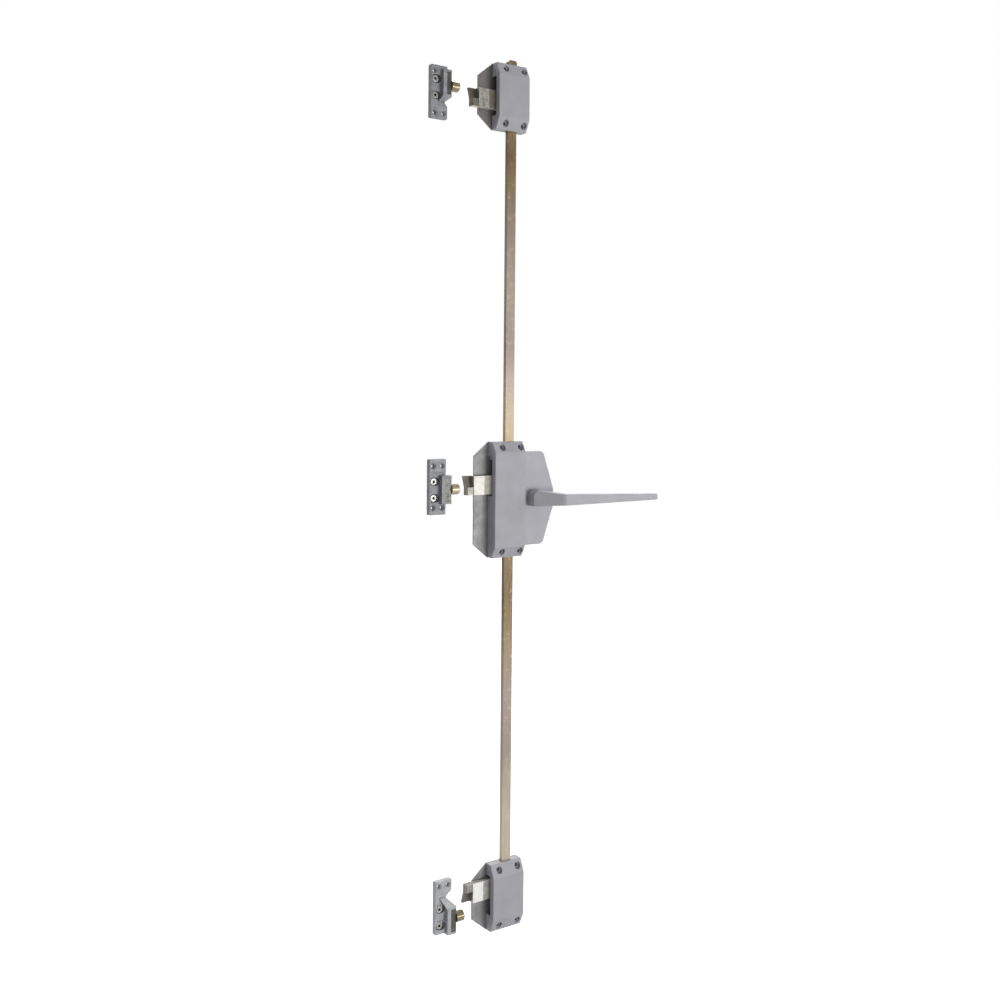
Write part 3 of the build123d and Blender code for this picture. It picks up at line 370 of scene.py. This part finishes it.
cover_paint = satin_paint("satin_paint_case", "#9E9EA4", "#A2A2A8", "#9A9AA0")
lever_paint = satin_paint("satin_paint_lever", "#A5A5AB", "#A9A9AF", "#A1A1A7")
sheet = galvanised_sheet("galvanised_sheet", ("#7E7E7F", "#888889", "#929293", "#9C9C9C"))
# A darker copy of the same sheet for the upper base plate: painted shade
sheet_upper_painted_shade = galvanised_sheet("galvanised_sheet_upper", ("#676561", "#6F6C68", "#787571", "#807D78"))
# Each hook gets its own pad and skin tones, lighter or darker as painted light and shade: the lower hook lightest,
# the upper hook darkest
hooks = {"center_hook": ground_hook("ground_hook_center", "center_hook", "#B9B7B0", "#ACAAA2", "#A6A39B", "#928F87",
                                    0.12),
         "upper_hook": ground_hook("ground_hook_upper", "upper_hook", "#AFACA3", "#726E64", "#766F61", "#5B5447",
                                   0.85),
         "lower_hook": ground_hook("ground_hook_lower", "lower_hook", "#DCDCD8", "#CFCFCB", "#9F9E99", "#858480",
                                   0.06)}
screw_zinc = bright_zinc("bright_zinc_screw", "#A3A29E", "#7B7A76", 0.2)
rod_zinc = yellow_zinc("yellow_zinc_bar", rod_bands, rod_drift, False)
# Each pin's top or bottom is darkened as painted shade
pins = {name: yellow_zinc("yellow_zinc_" + name, pin_bands, pin_drift, True, top_shade, bottom_shade)
        for name, top_shade, bottom_shade in (("center_keeper_pin", 0.85, 0.6), ("upper_keeper_pin", 0.85, 0.0),
                                  ("lower_keeper_pin", 0.0, 0.85))}
keeper_cast = cast_grey("cast_zinc_keeper", "#88898C", "#727376", "#97989B")
carrier_steel = machined_steel("carrier_steel", "#55544F", "#403F3B", 0.25)
# A lighter copy of the keeper casting for the lower keeper's base: painted light
keeper_cast_lower_painted_light = cast_grey("cast_zinc_keeper_lower_painted_light", "#A3A4A8", "#96979B", "#ADAEB2")
# A lighter copy of the carrier steel for the centre keeper: painted light
carrier_center_painted_light = machined_steel("carrier_steel_center_painted_light", "#6C6B66", "#5A5954", 0.1)
gear_steel = machined_steel("gear_steel", "#8A8B8C", "#66676A", 0.6)
nylon = moulded_nylon()

finishes = {"cover_paint": cover_paint, "lever_paint": lever_paint, "zinc_plate": sheet,
            "yellow_zinc": rod_zinc, "gear_steel": gear_steel, "screw_steel": screw_zinc,
            "carrier_steel": carrier_steel, "keeper_cast": keeper_cast, "bush_plastic": nylon}
# Pieces whose finish differs from that of their slot: the upper base plate takes a darker copy of the sheet as
# painted shade, and the centre keeper's carrier and the lower keeper's base take lighter copies as painted light
special = {"upper_base_plate": sheet_upper_painted_shade, "handle_plate": lever_paint, "center_keeper_carrier": carrier_center_painted_light,
           "lower_keeper_base": keeper_cast_lower_painted_light}
for part in frame["record"]["subparts"]:
    name = part["node"]
    if name in hooks:
        finish = hooks[name]
    elif name in pins:
        finish = pins[name]
    elif name in special:
        finish = special[name]
    else:
        finish = finishes[part["material_slot"]]
    nodes[name].data.materials.clear()
    nodes[name].data.materials.append(finish)


# Studio


def is_seen(tree):
    """1 for the rays that come from the camera or bounce off something glossy or clear, else 0."""
    path = add(tree, "LightPath")
    seen = add(tree, "Math", {0: path.outputs["Is Camera Ray"], 1: path.outputs["Is Glossy Ray"]},
               operation="MAXIMUM").outputs["Value"]
    return add(tree, "Math", {0: seen, 1: path.outputs["Is Transmission Ray"]}, operation="MAXIMUM").outputs["Value"]


def white_world(ambient):
    """A world that looks white and lights the object with a weaker plain grey."""
    world = bpy.data.worlds.new("studio")
    world.use_nodes = True
    tree = world.node_tree
    tree.nodes.clear()
    plain = add(tree, "Background", {"Color": srgb("#FFFFFF"), "Strength": ambient})
    white = add(tree, "Background", {"Color": srgb("#FFFFFF"), "Strength": 1.0})
    mix = add(tree, "MixShader", {0: is_seen(tree), 1: plain.outputs[0], 2: white.outputs[0]})
    add(tree, "OutputWorld", {"Surface": mix.outputs[0]})
    bpy.context.scene.world = world


def white_floor(drop, radius):
    """A round pale floor below the lock, made of rings: a point at (r cos a, r sin a)."""
    rings, around = 2, 64
    r = np.linspace(0.02, 1, rings)[:, None] * radius
    a = np.linspace(0, 2 * math.pi, around, endpoint=False)[None, :]
    points = np.stack([r * np.cos(a), r * np.sin(a), np.full((rings, around), drop)], axis=-1).reshape(-1, 3)
    step = np.arange(around)
    inner, outer = step, step + around
    following = np.roll(step, -1)
    quads = np.stack([inner, outer, following + around, following], axis=-1)
    mesh = bpy.data.meshes.new("floor")
    mesh.from_pydata(points.tolist(), [], quads.tolist() + [step.tolist()])
    material, tree = new_material("pale_floor")
    matt = add(tree, "BsdfDiffuse", {"Color": srgb("#ADADAD")})
    glow = add(tree, "Emission", {"Color": srgb("#FFFFFF"), "Strength": is_seen(tree)})
    both = add(tree, "AddShader", {0: matt.outputs[0], 1: glow.outputs[0]})
    add(tree, "OutputMaterial", {"Surface": both.outputs[0]})
    mesh.materials.append(material)
    floor = bpy.data.objects.new("floor", mesh)
    bpy.context.scene.collection.objects.link(floor)


def soft_box(name, place, target, width, height, watts):
    """A large rectangular lamp at a place, turned to its target."""
    data = bpy.data.lights.new(name, "AREA")
    data.shape = "RECTANGLE"
    data.size, data.size_y = width, height
    data.energy = watts
    lamp = bpy.data.objects.new(name, data)
    away = np.array(place) - np.array(target)
    away = away / np.linalg.norm(away)
    side = np.cross((0.0, 0.0, 1.0), away)
    side = side / np.linalg.norm(side)
    up = np.cross(away, side)
    turn = np.eye(4)
    turn[:3, 0], turn[:3, 1], turn[:3, 2], turn[:3, 3] = side, up, away, place
    lamp.matrix_world = Matrix(turn.tolist())
    bpy.context.scene.collection.objects.link(lamp)


ambient_strength = 0.45
floor_gap = 30
floor_radius = 6.0
white_world(ambient_strength)
white_floor(cad_box[0][2] - floor_gap * MM, floor_radius)
middle = (0.0, 0.0, 0.0)
soft_box("key", (0.9, -2.6, -0.65), middle, 1.4, 1.8, 76)
soft_box("side", (2.2, -0.6, 0.5), middle, 0.8, 1.6, 18)
soft_box("rim", (0.3, 0.9, 1.7), middle, 1.4, 0.6, 46)

# Camera: the photograph's own, fitted to the edges of the cases. The focal length and the horizon are in pixels
# of its 1000-pixel frame.
picture = 1000
focal_pixels = 1158.7
horizon_pixel = 391.43
camera_turn = math.radians(34.404)
camera_roll = math.radians(0.49)
camera_place = (-0.9268, -1.3386, 0.1503)
farthest = 50
sensor = 36.0
camera_data = bpy.data.cameras.new("camera")
camera_data.sensor_width = sensor
camera_data.lens = focal_pixels * sensor / picture
camera_data.shift_y = (horizon_pixel - picture / 2) / picture
camera_data.clip_end = farthest
camera = bpy.data.objects.new("camera", camera_data)
camera.matrix_world = (Matrix.Translation(camera_place) @ Matrix.Rotation(-camera_turn, 4, "Z")
                       @ Matrix.Rotation(math.pi / 2, 4, "X") @ Matrix.Rotation(camera_roll, 4, "Z"))
bpy.context.scene.collection.objects.link(camera)
bpy.context.scene.camera = camera
bpy.context.scene.view_settings.view_transform = "Standard"
